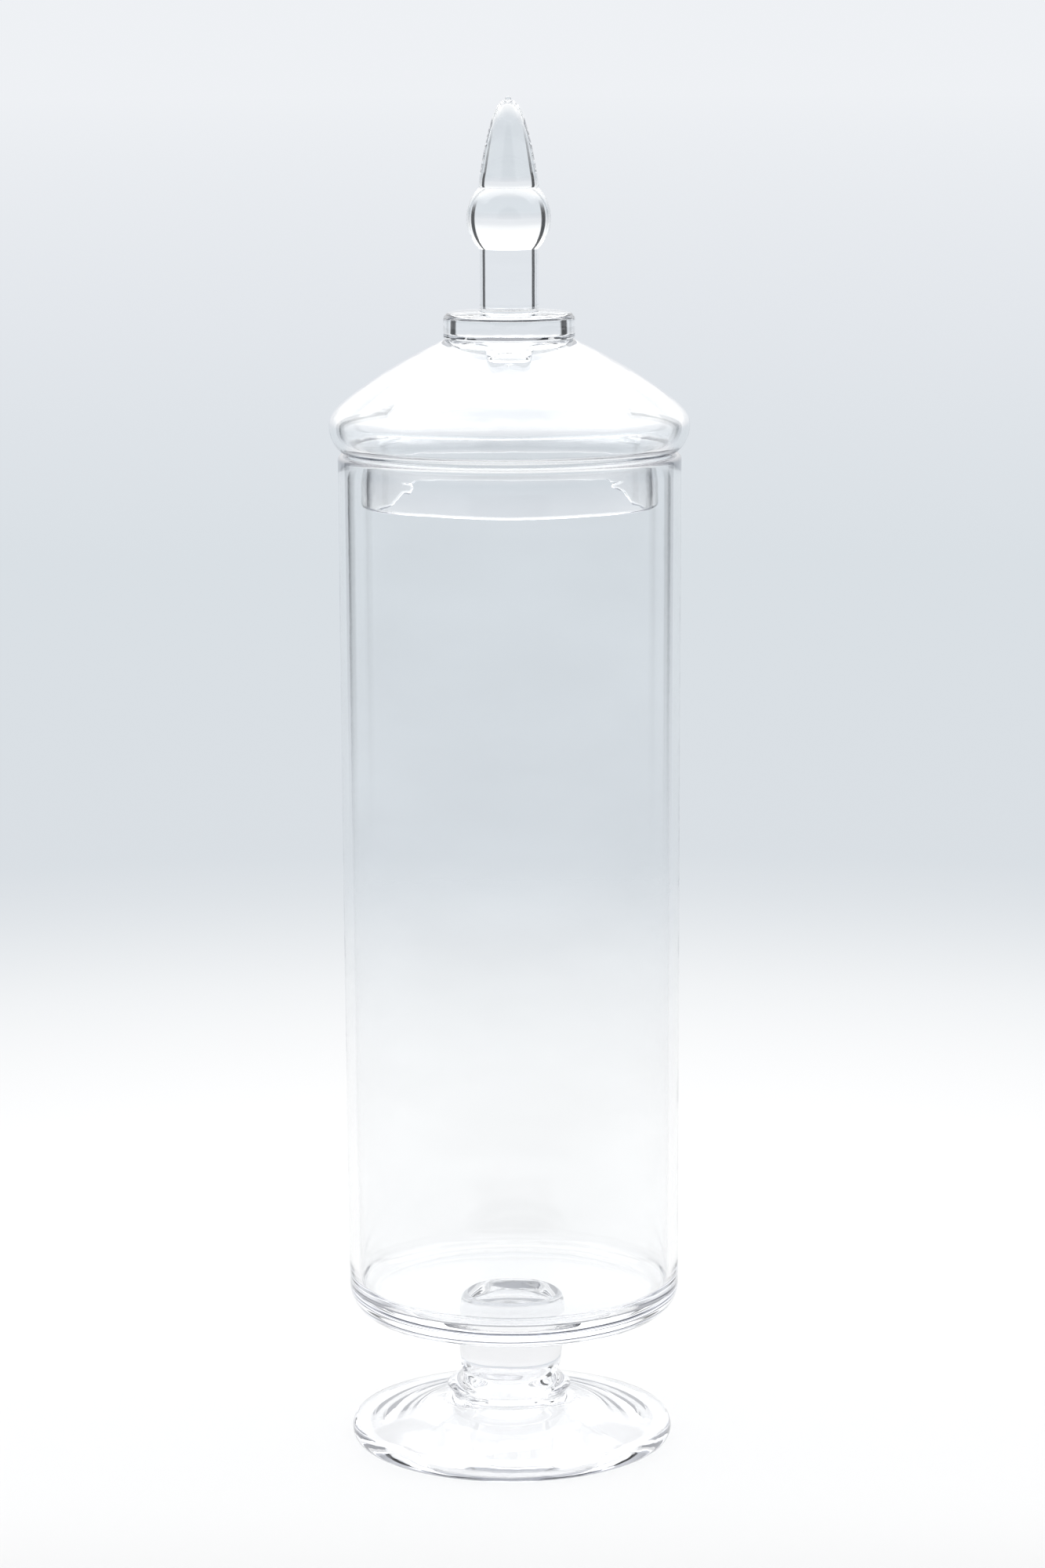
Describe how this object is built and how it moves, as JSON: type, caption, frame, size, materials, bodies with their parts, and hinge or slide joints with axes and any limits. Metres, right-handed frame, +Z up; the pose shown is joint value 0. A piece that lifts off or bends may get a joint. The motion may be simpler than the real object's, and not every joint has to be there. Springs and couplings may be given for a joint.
{
  "type": "specimen jar",
  "caption": "Tall clear glass cylinder on a pedestal foot, closed by a lift-off domed lid with a ball and spire finial, for showing specimens.",
  "frame": {"origin": "centre of the ring that the foot stands on, at table level", "axes": "+Z up along the axis of the jar; the jar is a body of revolution, so +X and +Y are arbitrary"},
  "size_m": [0.1574, 0.1574, 0.5979],
  "materials": {
    "foot_glass": "clear, fire-polished",
    "stem_glass": "clear, fire-polished",
    "cylinder_glass": "clear, fire-polished",
    "dome_glass": "clear, fire-polished",
    "disc_glass": "clear, fire-polished",
    "finial_glass": "clear, fire-polished"
  },
  "bodies": {
    "jar": {"foot": "foot_glass", "pedestal_stem": "stem_glass", "jar_cylinder": "cylinder_glass"},
    "lid": {"lid_dome": "dome_glass", "lid_disc": "disc_glass", "finial_shaft": "finial_glass", "finial_ball": "finial_glass", "finial_spire": "finial_glass"}
  },
  "joints": [
    {"name": "lid_lift", "type": "slide", "parent": "jar", "child": "lid", "axis": [0, 0, 1], "range_m": [0, 0.15]}
  ]
}
